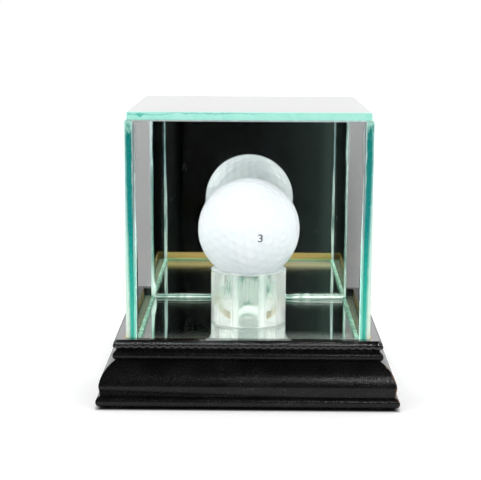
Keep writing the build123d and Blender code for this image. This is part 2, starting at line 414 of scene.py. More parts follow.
def mirror_glass():
    """The glass in front of the silver: a little green, dusty, with wiping streaks."""
    f = Finish("mirror_glass")
    x, y, z = f.axes(f.place)
    dust = f.specks(400.0, 0.05, 0.10)
    seldom = f.between(f.grain(0.009, 1, shift=(3, 1, 2)), 0.54, 0.62)
    streaks = f.between(f.grain(0.0035, 3, 0.6, (1, 1, 0.05)), 0.46, 0.78)
    veil = f.maths("ADD", f.times(f.times(dust, seldom), 0.35),
                   f.times(streaks, 0.004), True)
    near_front = f.times(f.between(y, -0.034, -0.018, 1, 0),
                         f.between(x, -0.02, 0.03, 0.05, 0.16))
    veil = f.maths("ADD", veil, near_front, True)
    clear = f.surface(Base_Color=(0.975, 0.997, 0.985), Roughness=0.0, IOR=1.52, Transmission_Weight=1.0)
    dusty = f.surface(Base_Color=(0.62, 0.72, 0.66), Roughness=0.8)
    square = squareness(f)
    at_back = f.maths("GREATER_THAN", z, 0.0229)
    at_floor = f.maths("SUBTRACT", 1.0, at_back)
    face = f.maths("ADD", f.times(f.maths("GREATER_THAN", square[1], 0.9), at_back),
                   f.times(f.maths("GREATER_THAN", square[2], 0.9), at_floor))
    rim = f.surface(Base_Color=f.mottled(f.grain(0.004, 3), (0.05, 0.32, 0.25), (0.12, 0.5, 0.4)),
                    Roughness=0.3)
    return f.done(f.mixed(face, rim, f.mixed(veil, clear, dusty)))


def silvering():
    """Silver to the glass, grey backing paint behind."""
    f = Finish("silvering")
    _, y, z = f.axes(f.place)
    back = f.maths("MAXIMUM", f.maths("GREATER_THAN", y, 0.04755), f.maths("LESS_THAN", z, 0.0196))
    paint = f.surface(Base_Color=f.mottled(f.grain(0.006, 4), (0.112, 0.117, 0.122), (0.135, 0.14, 0.145)),
                      Roughness=f.uneven(f.grain(0.003), 0.45, 0.65),
                      Normal=f.bumps(f.grain(0.0012, 3), 0.00006))
    silver = f.surface(Base_Color=f.mottled(f.grain(0.03, 2), (0.95, 0.97, 0.95), (0.97, 0.985, 0.97)),
                       Metallic=1.0, Roughness=0.0)
    return f.done(f.mixed(back, silver, paint))


def adhesive(name, milk, tints, glow=0.0, front=None):
    """Clear adhesive that dried uneven. milk gives its milkiness, and tints its duller and brighter
    colours, at heights from 0, the foot, to 1, the top; where they change with height they are painted light
    and shade, and its emission is a painted glow. front gives the milkiness of what faces the front."""
    f = Finish(name)
    height = height_on_glass(f, 0.02)
    cloud = f.between(f.grain(0.0025, 4, 0.6, (1, 1, 0.3)), 0.3, 0.7)
    share = f.shades(height, *greys(*milk))
    share = f.times(share, f.between(cloud, 0, 1, 0.7, 1.2, False), True)
    colour = f.blend(cloud, f.shades(height, *((place, dull) for place, dull, bright in tints)),
                     f.shades(height, *((place, bright) for place, dull, bright in tints)))
    if front:
        geometry = f.add("NewGeometry").outputs
        facing = f.between(f.axes(geometry["Normal"])[1], -0.9, -0.8, 1, 0)
        front_colour, front_share = corner_aqua(f, front)
        colour = f.blend(facing, colour, front_colour)
        share = f.times(share, f.maths("SUBTRACT", 1.0, geometry["Backfacing"]))
        share = f.maths("ADD", f.times(share, f.maths("SUBTRACT", 1.0, facing)),
                        f.times(front_share, facing), True)
    # Its emission is a painted glow.
    milky = f.surface(Base_Color=colour, Roughness=0.5, Specular_IOR_Level=0.15,
                      Normal=f.bumps(f.grain(0.0007, 3), 0.00006),
                      Emission_Color=colour, Emission_Strength=glow)
    clear = f.surface(Base_Color=(0.95, 0.98, 0.97), Roughness=0.05, IOR=1.45, Transmission_Weight=1.0)
    return f.done(f.lets_lamps_through(f.mixed(share, clear, milky), (0.86, 0.92, 0.91)))


def corner_aqua(f, milk):
    """Seen from the front, the glue in the front corners is whitish, and low down it is aqua as the glass,
    with the
    same painted light: bright aqua at the foot and greyer higher up.
    """
    wide = f.maths("ABSOLUTE", f.axes(f.place)[0])
    height = height_on_glass(f)
    aqua = f.shades(height, (0.0, (0.24, 0.88, 0.70)), (0.32, (0.26, 0.76, 0.62)), (0.5, (0.56, 0.66, 0.65)))
    colour = f.blend(f.between(wide, 0.0436, 0.0441), (0.56, 0.66, 0.64), aqua)
    share = f.times(f.between(wide, 0.0433, 0.0437), f.shades(height, *greys(*milk)))
    return colour, share


def acrylic():
    """Drawn acrylic tube, with faint scratches along it, satin cut ends, and painted highlights: stripes down
    its front half.
    """
    f = Finish("drawn_acrylic")
    x, y, z = f.axes(f.place)
    flat = f.add("CombineXYZ", {0: x, 1: y}).outputs[0]
    from_middle = f.add("VectorMath", {0: flat}, operation="LENGTH").outputs["Value"]
    deep_in_bore = f.between(from_middle, 0.0130, 0.0135, 0.00013, 0.00003)
    drawn = f.bumps(f.grain(0.0010, 2, 0.5, (1, 1, 0.015)), deep_in_bore)
    ends = f.maths("ADD", f.between(z, 0.02275, 0.02285, 1, 0), f.between(z, 0.0448, 0.0449), True)
    scratches = f.between(f.grain(0.0015, 3, 0.6, (1, 1, 0.1)), 0.62, 0.72)
    clear = f.surface(Base_Color=(0.985, 0.998, 0.985), Roughness=0.02, IOR=1.49, Transmission_Weight=1.0,
                      Normal=drawn)
    cut = f.surface(Base_Color=(0.93, 0.97, 0.95), Roughness=0.3, IOR=1.49, Transmission_Weight=0.45,
                    Normal=f.bumps(f.grain(0.0006, 3), 0.00005))
    # Painted highlights: milky stripes at set places across the front half, where lamps would shine in the
    # tube.
    lines = f.shades(f.between(x, -0.0159, 0.0159, 0, 1, False),
                     *greys((0.0, 0.3), (0.10, 0.16), (0.27, 0.0), (0.31, 0.45), (0.35, 0.45), (0.39, 0.06),
                            (0.61, 0.06), (0.66, 0.40), (0.70, 0.40), (0.74, 0.0), (0.90, 0.25)))
    share = f.maths("ADD", f.times(ends, 0.7),
                    f.between(scratches, 0, 1, 0.04, 0.12, False), True)
    share = f.maths("ADD", share, f.times(lines, f.between(y, -0.004, 0.0, 1, 0)), True)
    return f.done(f.lets_lamps_through(f.mixed(share, clear, cut), (0.93, 0.96, 0.94)))


def lacquered_wood(name, along):
    """Black satin lacquer over turned wood, worn brown at the corners, raw inside the rim and underneath, but
    black at the back of the rim's inner face, as painted shade.
    """
    f = Finish(name)
    x, y, z = f.axes(f.place)
    stretch = (0.06, 1, 1) if along == "x" else (1, 0.06, 1)
    pores = f.grain(0.0011, 4, 0.6, stretch, 0.6)
    peel = f.grain(0.0006, 3, 0.65)
    worn_spots = f.grain(0.0035, 4, 0.65)
    cloud = f.grain(0.012, 3)
    ax, ay = f.maths("ABSOLUTE", x), f.maths("ABSOLUTE", y)
    reach = f.maths("MAXIMUM", ax, ay)
    off_corner = f.maths("ABSOLUTE", f.maths("SUBTRACT", ax, ay))
    outside = f.between(reach, 0.0530, 0.0545)
    corner = f.times(f.between(off_corner, 0.0001, 0.0009, 1, 0), outside)
    right = f.between(x, 0.0, 0.05, 0.25, 1.0)
    rub = f.times(f.times(corner, right), f.between(worn_spots, 0.35, 0.6))
    rub = f.between(rub, 0.15, 0.55)
    black = f.mottled(cloud, (0.0022, 0.0022, 0.0024), (0.0045, 0.0045, 0.0045))
    brown = f.mottled(pores, (0.10, 0.045, 0.018), (0.23, 0.12, 0.055))
    painted_colour = f.blend(rub, black, brown)
    bump = f.bumps(pores, 0.00001, f.bumps(peel, 0.00006))
    satin = f.maths("ADD", f.uneven(peel, 0.20, 0.30), f.uneven(cloud, -0.01, 0.015))
    painted = f.surface(Base_Color=painted_colour, Roughness=satin, Normal=bump, IOR=1.5,
                        Specular_IOR_Level=0.26)
    polished = f.surface(Base_Color=painted_colour, Roughness=f.uneven(peel, 0.06, 0.09), IOR=1.5,
                         Normal=f.bumps(peel, 0.00001), Coat_Weight=1.0, Coat_Roughness=0.03,
                         Specular_IOR_Level=0.12)
    painted = f.mixed(f.between(z, 0.0219, 0.0221), painted, polished)
    rings = f.grain(0.0022, 5, 0.6, stretch, 1.2)
    bare = f.surface(Base_Color=f.shades(rings, (0.25, (0.55, 0.30, 0.08)), (0.5, (0.76, 0.47, 0.15)),
                                         (0.75, (0.88, 0.61, 0.24))),
                     Roughness=f.uneven(rings, 0.55, 0.75), Normal=f.bumps(rings, 0.0001))
    under = f.times(f.between(z, 0.00101, 0.00108, 1, 0), f.between(reach, 0.0535, 0.0548, 1, 0))
    # Painted shade: the rim's inner face is raw wood except at the back, which is kept black.
    inner = f.times(f.between(reach, 0.04815, 0.04825, 1, 0), f.between(y, 0.0475, 0.0479, 1, 0))
    raw = f.maths("MAXIMUM", inner, under)
    return f.done(f.mixed(raw, painted, bare))


def fibreboard():
    f = Finish("pressed_fibreboard")
    fibres = f.grain(0.0012, 5, 0.7, (1, 1, 3), 1.0)
    return f.done(f.surface(Base_Color=f.shades(fibres, (0.3, (0.16, 0.09, 0.045)), (0.5, (0.28, 0.17, 0.09)),
                                                (0.7, (0.40, 0.27, 0.15))),
                            Roughness=f.uneven(fibres, 0.65, 0.85), Normal=f.bumps(fibres, 0.00012)))


def plated_steel():
    f = Finish("plated_steel")
    marks = f.grain(0.0006, 4, 0.6, (1, 1, 0.2))
    return f.done(f.surface(Base_Color=f.mottled(marks, (0.46, 0.44, 0.38), (0.62, 0.60, 0.55)),
                            Metallic=1.0, Roughness=f.uneven(marks, 0.28, 0.48),
                            Normal=f.bumps(marks, 0.00003)))


def foam():
    f = Finish("foam_tape")
    cells = f.add("TexVoronoi", {"Vector": f.place, "Scale": 2500.0}).outputs["Distance"]
    return f.done(f.surface(Base_Color=f.mottled(cells, (0.72, 0.71, 0.67), (0.86, 0.85, 0.82), 0.1, 0.6),
                            Roughness=0.8, Normal=f.bumps(cells, 0.0001)))


def foot_pad():
    f = Finish("foot_pad")
    speckle = f.grain(0.0005, 3, 0.6)
    black = f.mottled(speckle, (0.012, 0.012, 0.013), (0.035, 0.035, 0.034), 0.35, 0.65)
    return f.done(f.surface(Base_Color=black,
                            Roughness=f.uneven(speckle, 0.6, 0.8), Normal=f.bumps(speckle, 0.00008)))


def ball_skin():
    """White cover with a clear coat, faint scuffs and a slightly uneven white."""
    f = Finish("ball_skin")
    cloud = f.grain(0.012, 3)
    fine = f.grain(0.0005, 3, 0.6)
    return f.done(f.surface(Base_Color=f.mottled(cloud, (0.82, 0.85, 0.89), (0.86, 0.885, 0.92)),
                            Roughness=f.uneven(fine, 0.46, 0.56), Specular_IOR_Level=0.15,
                            Coat_Weight=0.5, Coat_Roughness=0.07, Normal=f.bumps(fine, 0.000008)))


def core_rubber():
    f = Finish("core_rubber")
    speckle = f.grain(0.001, 3, 0.6)
    return f.done(f.surface(Base_Color=f.mottled(speckle, (0.10, 0.22, 0.36), (0.16, 0.30, 0.46), 0.35, 0.65),
                            Roughness=f.uneven(speckle, 0.5, 0.7), Normal=f.bumps(speckle, 0.00005)))


def numeral_ink():
    f = Finish("numeral_ink")
    wear = f.grain(0.0003, 3, 0.6)
    return f.done(f.surface(Base_Color=f.mottled(wear, (0.03, 0.042, 0.047), (0.07, 0.085, 0.09), 0.35, 0.7),
                            Roughness=f.uneven(wear, 0.25, 0.4)))


# Pieces of the cover and floor.

def flat_slab(name, low, high, finish, chamfer, **where):
    """A cut sheet with its edges eased."""
    low, high = Vector(low), Vector(high)
    put_down()
    bpy.ops.mesh.primitive_cube_add(size=1, location=(low + high) / 2, scale=high - low)
    piece = bpy.context.object
    piece.name = name
    settle(piece, 20)
    open_mesh(piece, "EDGE")
    take_all()
    bpy.ops.mesh.bevel(offset=chamfer, segments=2, profile=0.5, affect="EDGES")
    put_down()
    dress(piece, finish, **where)


def mirrors():
    """Each mirror as a sheet of glass with a thin sheet of silver and paint let into its back."""
    glass, silver = mirror_glass(), silvering()
    eased, thin, coating, overlap = 0.2 * MM, 0.03 * MM, 0.15 * MM, 0.02 * MM
    low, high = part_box("back_mirror")
    split = high.y - coating
    at_back = {"body": "cover", "slot": "mirror", "stands_for": ["back_mirror"]}
    flat_slab("back_mirror_glass", low, (high.x, split, high.z), glass, eased, **at_back)
    flat_slab("back_mirror_silvering", (low.x + eased, split - overlap, low.z + eased),
              (high.x - eased, high.y, high.z - eased), silver, thin, **at_back)
    low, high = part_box("floor_mirror")
    split = low.z + coating
    at_floor = {"body": "base", "slot": "mirror", "stands_for": ["floor_mirror"]}
    flat_slab("floor_mirror_glass", (low.x, low.y, split), (high.x, high.y, high.z - 0.015 * MM),
              glass, eased, **at_floor)
    flat_slab("floor_mirror_silvering", (low.x + eased, low.y + eased, low.z),
              (high.x - eased, high.y - eased, split + overlap), silver, thin, **at_floor)


def throughout(dull, bright):
    """Tints of glue that are the same at every height."""
    return (0.0, dull, bright), (1.0, dull, bright)


def seams():
    """The glue lines: welded copies of the CAD seams, cut into short lengths and made uneven, and the glue
    smeared beside them."""
    front_milk = ((0.0, 0.95), (0.4, 0.7), (1.0, 0.7))
    # Tints that go lighter and darker with height are painted light and shade.
    front_tints_painted_light = (
        (0.02, (0.74, 0.84, 0.80), (0.94, 1.0, 0.98)), (0.15, (0.50, 0.66, 0.60), (0.74, 0.90, 0.82)),
        (0.22, (0.28, 0.42, 0.39), (0.44, 0.60, 0.55)), (0.42, (0.58, 0.74, 0.70), (0.78, 0.93, 0.90)),
        (0.58, (0.24, 0.39, 0.41), (0.37, 0.54, 0.56)), (1.0, (0.22, 0.36, 0.39), (0.34, 0.50, 0.53)))
    back_left_milk = ((0.06, 1.0), (0.13, 0.75), (0.25, 0.55), (0.34, 0.25), (0.60, 0.2), (0.75, 0.65))
    back_left_tints_painted_light = (
        (0.0, (0.62, 0.88, 0.74), (0.88, 0.98, 0.92)), (0.2, (0.40, 0.74, 0.62), (0.62, 0.88, 0.78)),
        (0.6, (0.30, 0.52, 0.48), (0.50, 0.70, 0.66)), (0.8, (0.52, 0.66, 0.66), (0.76, 0.86, 0.86)))
    back_right_milk = ((0.10, 0.9), (0.2, 0.3), (0.40, 0.3), (0.48, 0.7), (0.6, 0.35), (0.8, 0.5))
    back_right_tints_painted_light = (
        (0.0, (0.46, 0.72, 0.60), (0.74, 0.92, 0.82)), (0.6, (0.36, 0.50, 0.46), (0.56, 0.68, 0.64)))
    # The number after the tints is the glue's painted glow, here and below.
    finishes = {
        "seam_front_left": adhesive("front_left_glue", front_milk, front_tints_painted_light, 0.06,
                                    ((0.0, 1.0), (0.6, 0.85), (0.78, 0.05))),
        "seam_front_right": adhesive("front_right_glue", front_milk, front_tints_painted_light, 0.06,
                                     ((0.0, 1.0), (1.0, 0.85))),
        "seam_back_left": adhesive("back_left_glue", back_left_milk, back_left_tints_painted_light),
        "seam_back_right": adhesive("back_right_glue", back_right_milk, back_right_tints_painted_light, 0.08),
        "seam_top": adhesive("top_glue", ((0.0, 0.5), (1.0, 0.65)),
                             throughout((0.66, 0.78, 0.80), (0.80, 0.88, 0.89)))}
    pale = adhesive("pale_glue", ((0.0, 0.9), (1.0, 0.9)),
                    throughout((0.76, 0.92, 0.82), (0.93, 0.98, 0.93)), 0.15)
    green = adhesive("side_foot_glue", ((0.0, 0.85), (1.0, 0.85)),
                     throughout((0.20, 0.42, 0.32), (0.32, 0.58, 0.44)), 0.04)
    for node, finish in finishes.items():
        piece = copy_of(node, node.replace("seam", "glue"))
        low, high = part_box(node)
        open_mesh(piece, "FACE")
        for axis, cuts in ((0, 56), (1, 56)) if node == "seam_top" else ((2, 60),):
            slice_up(axis, low[axis], high[axis], cuts)
        put_down()
        unsettle(piece, node)
        settle(piece, 50)
        dress(piece, finish, "cover", "clear_adhesive", [node])
    foot_glue("glue_back_foot", 0, pale)
    for side in (-1, 1):
        foot_glue("glue_left_foot" if side < 0 else "glue_right_foot", side, green)
        step_glue(side, pale)


def unsettle(piece, node):
    """Moves the free face of a glue line in and out, as glue pressed out by hand leaves it."""
    seed, least, most = {"seam_front_left": (3, 0.75, 1.0), "seam_front_right": (11, 0.6, 0.9),
                         "seam_back_left": (19, 0.55, 0.8), "seam_back_right": (31, 0.25, 0.75),
                         "seam_top": (43, 0.12, 0.3)}[node]
    widest = 0.0019     # no glue line reaches further than this from its wall
    for v in piece.data.vertices:
        along = v.co.z if node != "seam_top" else v.co.x + 2 * v.co.y
        long_waves = noise.noise(Vector((seed, along * 60, 0)))
        short_waves = noise.noise(Vector((seed, along * 400, 5)))
        keep = least + (most - least) * held(0.5 + 0.5 * long_waves + 0.35 * short_waves)
        reach = [keep, keep]
        if node.startswith("seam_front"):
            reach = [keep * (1.12 - 0.6 * held((v.co.z - 0.052) / 0.03))] * 2
        if node == "seam_back_left":
            bulge = 0.7 * math.exp(-((v.co.z - 0.0262) / 0.0034) ** 2)
            low_down = held((0.050 - v.co.z) / 0.010)
            reach = [0.38 + 0.25 * low_down + 0.3 * (keep - least) / (most - least) + bulge, 0.35]
        for k in (0, 1):
            free = WALL_INSIDE - abs(v.co[k])
            if 0 < free < widest:
                v.co[k] = math.copysign(WALL_INSIDE - free * reach[k], v.co[k])
        if node == "seam_top" and v.co.z < WALL_TOP:
            v.co.z = WALL_TOP - (WALL_TOP - v.co.z) * keep


def step_glue(side, pale):
    """Glue that fills the step between the top pane and a side pane, cut from a block to a slope."""
    inner, foot, length = 46.73 * MM, 111.05 * MM, 94.9 * MM
    put_down()
    bpy.ops.mesh.primitive_cube_add(size=1, location=(side * 47.15 * MM, 0, 112.1 * MM),
                                    scale=(0.85 * MM, length, 2.1 * MM))
    fill = bpy.context.object
    fill.name = "glue_step_left" if side < 0 else "glue_step_right"
    settle(fill)
    open_mesh(fill, "EDGE")
    choose(fill, edges=lambda middle, run: abs(run.y) > 0.01 and abs(middle.x) > 0.0474 and middle.z > 0.113)
    bpy.ops.transform.translate(value=(-side * 0.8 * MM, 0, 0))
    slice_up(1, -length / 2, length / 2, 48)
    put_down()
    for v in fill.data.vertices:
        wave = 0.75 + 0.5 * noise.noise(Vector((side * 5, v.co.y * 120, 2)))
        v.co.z = foot + (v.co.z - foot) * held(wave, 0.3)
        v.co.x = side * (inner + (abs(v.co.x) - inner) * held(wave + 0.2, 0.5))
    settle(fill, 40)
    dress(fill, pale, "cover", "clear_adhesive")


def foot_glue(name, side, finish):
    """Smeared glue along the foot of a wall: a rod cut into slices, each swollen its own way. Its middle is
    a gap away from the wall, and its outer half is drawn out to meet the wall. side is 0 at the back."""
    length = 87.6 * MM
    rod, gap = (0.5 * MM, 0.3 * MM) if side == 0 else (0.8 * MM, 1.2 * MM)
    put_down()
    bpy.ops.mesh.primitive_cylinder_add(vertices=12, radius=rod, depth=length, rotation=(0, math.pi / 2, 0))
    smear = bpy.context.object
    smear.name = name
    settle(smear)
    open_mesh(smear)
    slice_up(0, -length / 2, length / 2, 100)
    put_down()
    for v in smear.data.vertices:
        x, seed = v.co.x, 7 + side
        thick = 1 / (1 + math.exp(-(x - 0.021) / 0.0012)) if side == 0 else 0
        long_waves = noise.noise(Vector((seed, x * 90, 0)))
        short_waves = noise.noise(Vector((seed, x * 500, 3)))
        size = max(0.3, 0.6 + 0.45 * long_waves + 0.35 * short_waves) * (1 + 1.2 * thick)
        drawn = gap / rod if v.co.y > 0 else size
        v.co.y = min(WALL_INSIDE - gap + v.co.y * drawn, WALL_INSIDE - 0.01 * MM)
        v.co.z = max(FLOOR_TOP + 0.3 * MM + v.co.z * size, FLOOR_TOP + 0.02 * MM)
    if side:
        smear.data.transform(Matrix.Rotation(-side * math.pi / 2, 4, "Z"))
    settle(smear)
    dress(smear, finish, "cover", "clear_adhesive")


# The display.

def dimpled_ball():
    """A ball with 362 dimples: an icosahedron cut in six each way, its points opened into dimples."""
    low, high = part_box("ball_cover")
    centre, radius = (low + high) / 2, (high.x - low.x) / 2
    cover_thickness = 1.8 * MM
    put_down()
    bpy.ops.mesh.primitive_ico_sphere_add(subdivisions=1, radius=radius, location=(0, 0, 0))
    ball = bpy.context.object
    ball.name = "ball_skin"
    open_mesh(ball, "FACE")
    take_all()
    bpy.ops.mesh.subdivide(number_cuts=5)
    bpy.ops.object.mode_set(mode="OBJECT")
    for v in ball.data.vertices:
        v.co = v.co.normalized() * radius
    spots = [v.co.normalized() for v in ball.data.vertices]
    open_mesh(ball, "VERT")
    take_all()
    bpy.ops.mesh.bevel(offset_type="PERCENT", offset_pct=49, segments=1, affect="VERTICES")
    bpy.ops.mesh.select_mode(type="FACE")
    near = math.cos(0.02)

    def on_spot(middle, normal):
        aim = middle.normalized()
        return max(aim.dot(spot) for spot in spots) > near

    choose(ball, faces=on_spot)
    for width, depth in ((0.10, 0.03), (0.62, 0.17)):
        bpy.ops.mesh.inset(thickness=width * MM, depth=-depth * MM, use_individual=True)
    put_down()
    work_with(ball, "SUBSURF", levels=1, render_levels=1)
    turn = Matrix.Rotation(0.35, 4, "Z") @ Matrix.Rotation(0.6, 4, "X") @ Matrix.Rotation(0.2, 4, "Y")
    ball.data.transform(turn)
    biggest = max(v.co.length for v in ball.data.vertices)
    ball.data.transform(Matrix.Scale(radius / biggest, 4))
    put_down()
    bpy.ops.mesh.primitive_ico_sphere_add(subdivisions=5, radius=radius - cover_thickness, location=(0, 0, 0))
    inside = bpy.context.object
    open_mesh(inside, "FACE")
    take_all()
    bpy.ops.mesh.flip_normals()
    put_down()
    inside.select_set(True)
    ball.select_set(True)
    bpy.context.view_layer.objects.active = ball
    bpy.ops.object.join()
    ball.location = centre
    settle(ball)
    dress(ball, ball_skin(), "ball", "ball_white", ["ball_cover"])
    return ball, centre, radius


def numeral(ball, centre, radius):
    """A plain play numeral, made a little wider than the font has it and laid on the skin."""
    ink_depth, wider = 0.02 * MM, 1.22
    put_down()
    bpy.ops.object.text_add(location=(0, 0, 0))
    sign = bpy.context.object
    sign.data.body = "3"
    sign.data.size = 4.4 * MM
    sign.data.align_x = "CENTER"
    sign.data.align_y = "CENTER"
    sign.data.resolution_u = 6
    sign.data.offset = 0.015 * MM
    sign.data.extrude = ink_depth
    bpy.ops.object.convert(target="MESH")
    sign = bpy.context.object
    sign.name = "play_numeral"
    open_mesh(sign, "VERT")
    take_all()
    bpy.ops.mesh.remove_doubles(threshold=0.000001)
    bpy.ops.mesh.quads_convert_to_tris()
    bpy.ops.mesh.subdivide(number_cuts=2)
    put_down()
    aim = Vector((0.224, -0.973, -0.037)).normalized()
    side = Vector((0, 0, 1)).cross(aim).normalized()
    up = aim.cross(side)
    place = Matrix((side, up, aim)).transposed().to_4x4()
    place.translation = centre + aim * radius
    sign.data.transform(place @ Matrix.Scale(wider, 4, (1, 0, 0)))
    for v in sign.data.vertices:
        lift = (v.co - centre).dot(aim) - radius
        _, foot, normal, _ = ball.closest_point_on_mesh(v.co)
        v.co = foot + normal * (ink_depth + max(0.0, lift))
    settle(sign, 40)
    dress(sign, numeral_ink(), "ball", "ball_white")


def tube():
    """The clear tube: a profile turned round the middle, with its ends eased."""
    low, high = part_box("ball_stand")
    outer, bore, ease = (high.x - low.x) / 2, 12.7 * MM, 0.3 * MM
    put_down()
    bpy.ops.mesh.primitive_plane_add(size=1, location=((outer + bore) / 2, 0, (low.z + high.z) / 2),
                                     rotation=(math.pi / 2, 0, 0))
    piece = bpy.context.object
    piece.scale = (outer - bore, high.z - low.z, 1)
    piece.name = "clear_tube"
    settle(piece)
    open_mesh(piece, "VERT")
    take_all()
    bpy.ops.mesh.bevel(offset=ease, segments=3, profile=0.5, affect="VERTICES")
    take_all()
    bpy.ops.mesh.delete(type="ONLY_FACE")
    take_all()
    bpy.ops.mesh.spin(steps=160, angle=2 * math.pi, center=(0, 0, 0), axis=(0, 0, 1))
    take_all()
    bpy.ops.mesh.remove_doubles(threshold=0.000005)
    bpy.ops.mesh.normals_make_consistent(inside=False)
    put_down()
    settle(piece, 35)
    dress(piece, acrylic(), "stand", "clear_acrylic", ["ball_stand"])


# The base.

def arc_middle(a, b, c):
    """The centre and radius of the circle through three points."""
    (ax, ay), (bx, by), (cx, cy) = a, b, c
    d = 2 * (ax * (by - cy) + bx * (cy - ay) + cx * (ay - by))
    aa, bb, cc = ax * ax + ay * ay, bx * bx + by * by, cx * cx + cy * cy
    x = (aa * (by - cy) + bb * (cy - ay) + cc * (ay - by)) / d
    y = (aa * (cx - bx) + bb * (ax - cx) + cc * (bx - ax)) / d
    return Vector((x, y)), math.hypot(ax - x, ay - y)


def true_curves(piece, out):
    """Gives the faces on the moulding's plain bead, ovolo and foot bead the true normals of their arcs, and
    its flat faces, mitres and rim their own. Each arc is three points, in mm outwards and upwards."""
    arcs = [arc_middle(*points) for points in (
        ((52.525, 20.0), (51.507, 18.2), (50.425, 22.1)),
        ((51.507, 18.2), (55.645, 14.375), (57.625, 9.1)),
        ((57.075, 5.2), (58.725, 3.1), (57.325, 1.0)))]
    mesh = piece.data
    normals = [corner.vector.copy() for corner in mesh.corner_normals]
    for face in mesh.polygons:
        mitre = abs(abs(face.normal.x) - abs(face.normal.y)) < 0.01 and abs(face.normal.z) < 0.01
        level = face.center.z > UNDER_LEDGE or face.center.z < OVER_FOOT
        rim = face.center.dot(out) < RIM_FACE
        if mitre or level or rim:
            for corner in face.loop_indices:
                normals[corner] = face.normal.copy()
        middle = Vector((face.center.dot(out), face.center.z)) / MM
        facing = Vector((face.normal.dot(out), face.normal.z))
        for centre, radius in arcs:
            spoke = middle - centre
            on_arc = abs(spoke.length - radius) < 0.06
            if on_arc and facing.length > 0.9 and facing.dot(spoke) > 0.96 * spoke.length:
                for corner in face.loop_indices:
                    place = mesh.vertices[mesh.loops[corner].vertex_index].co
                    spoke = (Vector((place.dot(out), place.z)) / MM - centre).normalized()
                    normals[corner] = out * spoke.x + Vector((0, 0, spoke.y))
    mesh.normals_split_custom_set(normals)


def mouldings():
    """The mitred mouldings: welded copies of the CAD ones, shaded true to their curves."""
    for side, along, out in (("front", "x", (0, -1, 0)), ("back", "x", (0, 1, 0)),
                             ("left", "y", (-1, 0, 0)), ("right", "y", (1, 0, 0))):
        piece = copy_of("moulding_" + side, "lacquered_" + side)
        settle(piece, 38)
        true_curves(piece, Vector(out))
        finish = lacquered_wood("lacquered_wood_" + side, along)
        dress(piece, finish, "base", "black_wood", ["moulding_" + side])


def hidden_parts():
    """Finishes for the CAD's own pieces that are hidden, or nearly."""
    steel, pad = plated_steel(), foot_pad()
    repaint("corner_v_nails", steel)
    repaint("board_screws", steel)
    repaint("floor_board", fibreboard())
    repaint("mirror_tape", foam())
    repaint("ball_core", core_rubber())
    for foot in ("foot_front_left", "foot_front_right", "foot_back_right", "foot_back_left"):
        repaint(foot, pad)


def panes():
    """Finishes for the clear panes, which are the CAD's own pieces."""
    clear = (0.98, 0.992, 0.985)
    repaint("left_pane", pane_finish("glass_left", 0, clear, side_edge_colour, 0.0005, painted_foot_glow=0.5,
                                     painted_shade_tones=(0.335, 0.315, 0.355, 0.405)))
    repaint("right_pane", pane_finish("glass_right", 0, clear, side_edge_colour, 0.0005, painted_foot_glow=0.5,
                                      painted_shade_tones=(0.21, 0.34, 0.285, 0.33)))
    repaint("front_pane", pane_finish("glass_front", 1, (0.985, 0.994, 0.99), front_edge_colour, 0.0015,
                                      head_on=0.1, painted_foot_glow=0.12))
    repaint("top_pane", pane_finish("glass_top", 2, clear, top_edge_colour, 0.003, slant_dust=0.95))


# The studio.

def camera():
    """The camera that took the photo, as it was fitted to the case's edges."""
    data = bpy.data.cameras.new("camera")
    data.sensor_fit, data.sensor_width = "HORIZONTAL", SENSOR
    data.lens = FOCAL_PX / PICTURE_PX * SENSOR
    data.clip_start, data.clip_end = 0.01, 50
    place = (Matrix.Rotation(0.00759, 4, "Z") @ Matrix.Rotation(math.pi / 2 - 0.1708, 4, "X")
             @ Matrix.Rotation(0.0051, 4, "Z"))
    place.translation = (0.0007187, -0.55338, 0.152277)
    eye = bpy.data.objects.new("camera", data)
    eye.matrix_world = place
    scene.collection.objects.link(eye)
    scene.camera = eye


def lamp(name, place, aim, size, watts):
    """A rectangular lamp at place, turned to aim."""
    data = bpy.data.lights.new(name, "AREA")
    data.shape = "RECTANGLE"
    data.size, data.size_y = size
    data.energy = watts
    thing = bpy.data.objects.new(name, data)
    thing.location = place
    thing.rotation_euler = (Vector(aim) - Vector(place)).to_track_quat("-Z", "Y").to_euler()
    scene.collection.objects.link(thing)
    return thing


def stage_plane(name, size, finish, **place):
    """A flat piece of the stage, which is no part of the object."""
    put_down()
    bpy.ops.mesh.primitive_plane_add(size=1, **place)
    thing = bpy.context.object
    thing.name = name
    thing.scale = (*size, 1)
    settle(thing, 30)
    dress(thing, finish)
    return thing


def air():
    """White all round, and a little less bright where it lights matt surfaces."""
    world = bpy.data.worlds.new("studio_air")
    scene.world = world
    world.use_nodes = True
    tree = world.node_tree
    tree.nodes.clear()
    path = tree.nodes.new("ShaderNodeLightPath")
    level = tree.nodes.new("ShaderNodeMapRange")
    level.inputs["To Min"].default_value = 1.0
    level.inputs["To Max"].default_value = 0.84
    white = tree.nodes.new("ShaderNodeBackground")
    white.inputs[0].default_value = (1, 1, 1, 1)
    out = tree.nodes.new("ShaderNodeOutputWorld")
    tree.links.new(path.outputs["Diffuse Depth"], level.inputs["Value"])
    tree.links.new(level.outputs[0], white.inputs[1])
    tree.links.new(white.outputs[0], out.inputs[0])


